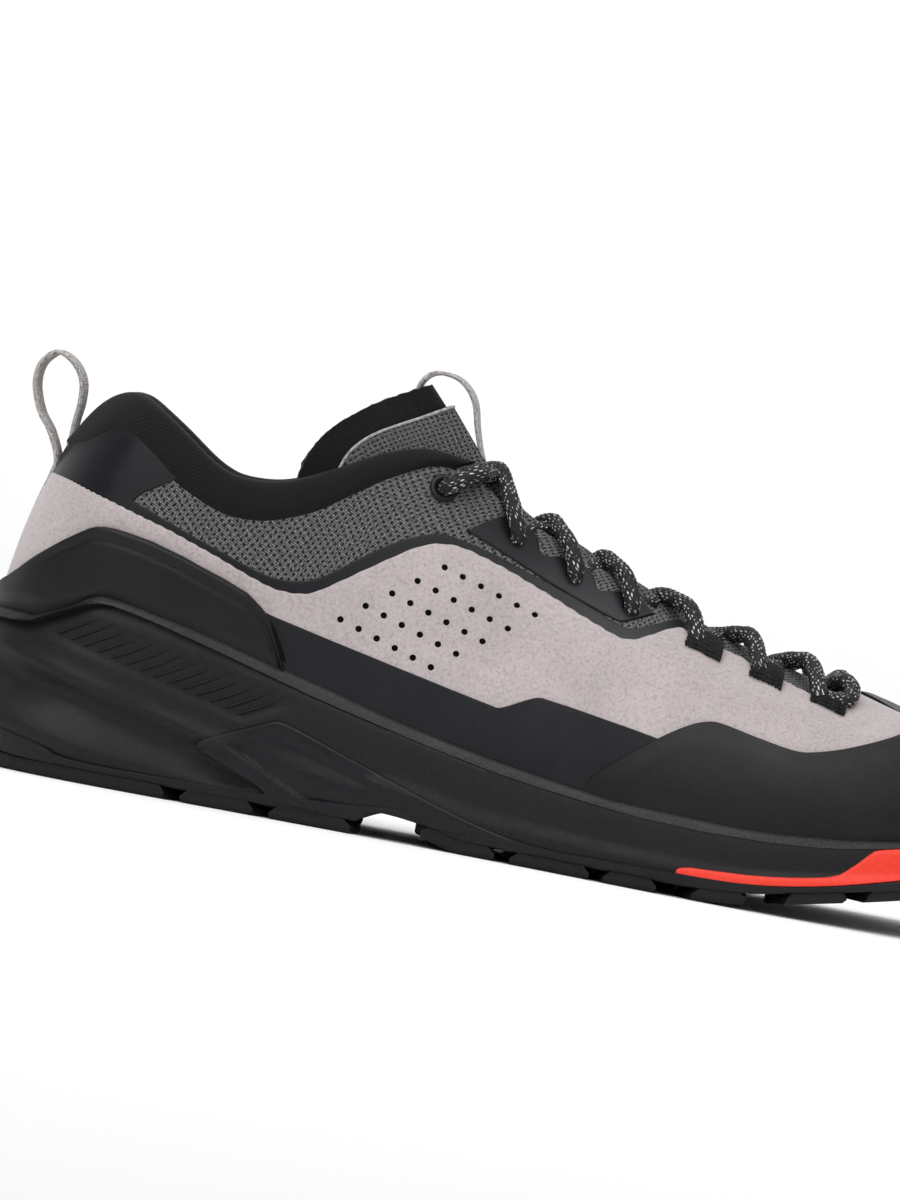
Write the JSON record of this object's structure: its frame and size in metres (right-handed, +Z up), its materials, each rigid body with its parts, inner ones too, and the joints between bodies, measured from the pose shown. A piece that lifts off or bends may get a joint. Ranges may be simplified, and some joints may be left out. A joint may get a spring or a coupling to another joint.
{
  "type": "approach shoe",
  "caption": "Right-foot low approach shoe: lugged outsole, foam midsole, rubber toe rand, heel cup and long laced throat.",
  "frame": {"origin": "on the ground under the middle of the heel tread, on the shoe's long axis", "axes": "+X to the toe, +Y to the medial side, +Z up"},
  "size_m": [0.3004, 0.1098, 0.1262],
  "materials": {
    "outsole_rubber": "moulded rubber, matt, near black with a slight navy cast",
    "midsole_foam": "matt moulded foam, near black, its upper chamfer a lighter grey",
    "accent_rubber": "smooth red-orange rubber",
    "insole_textile": "dark brushed textile",
    "suede_panel": "light warm grey suede-like microfibre with a fine nap",
    "open_mesh": "heather grey and black open mesh",
    "smooth_film": "smooth welded film, near black navy",
    "collar_knit": "black padded knit with fine diagonal ribs",
    "rand_rubber": "matt black rubber with a soft bevelled edge",
    "counter_moulding": "matt black moulded plastic",
    "pull_tape": "light heather webbing tape",
    "lace_cord": "round black braided lace with white flecks",
    "keeper_webbing": "ribbed black webbing",
    "eyelet_moulding": "black moulded ring"
  },
  "bodies": {
    "root": {"outsole": "outsole_rubber", "midsole": "midsole_foam", "toe_accent": "accent_rubber", "insole": "insole_textile", "upper": "suede_panel", "tongue": "open_mesh", "collar": "collar_knit", "toe_rand": "rand_rubber", "heel_counter": "counter_moulding", "heel_pull_loop": "pull_tape", "tongue_pull_loop": "pull_tape", "eyelet_lateral": "eyelet_moulding", "eyelet_medial": "eyelet_moulding", "lace_keeper_lateral_1": "keeper_webbing", "lace_keeper_lateral_2": "keeper_webbing", "lace_keeper_lateral_3": "keeper_webbing", "lace_keeper_medial_1": "keeper_webbing", "lace_keeper_medial_2": "keeper_webbing", "lace_keeper_medial_3": "keeper_webbing", "lace_crossing_1": "lace_cord", "lace_crossing_2": "lace_cord", "lace_crossing_3": "lace_cord", "lace_crossing_4": "lace_cord", "lace_crossing_5": "lace_cord", "lace_crossing_6": "lace_cord", "lace_toe_bar": "lace_cord"}
  },
  "joints": []
}
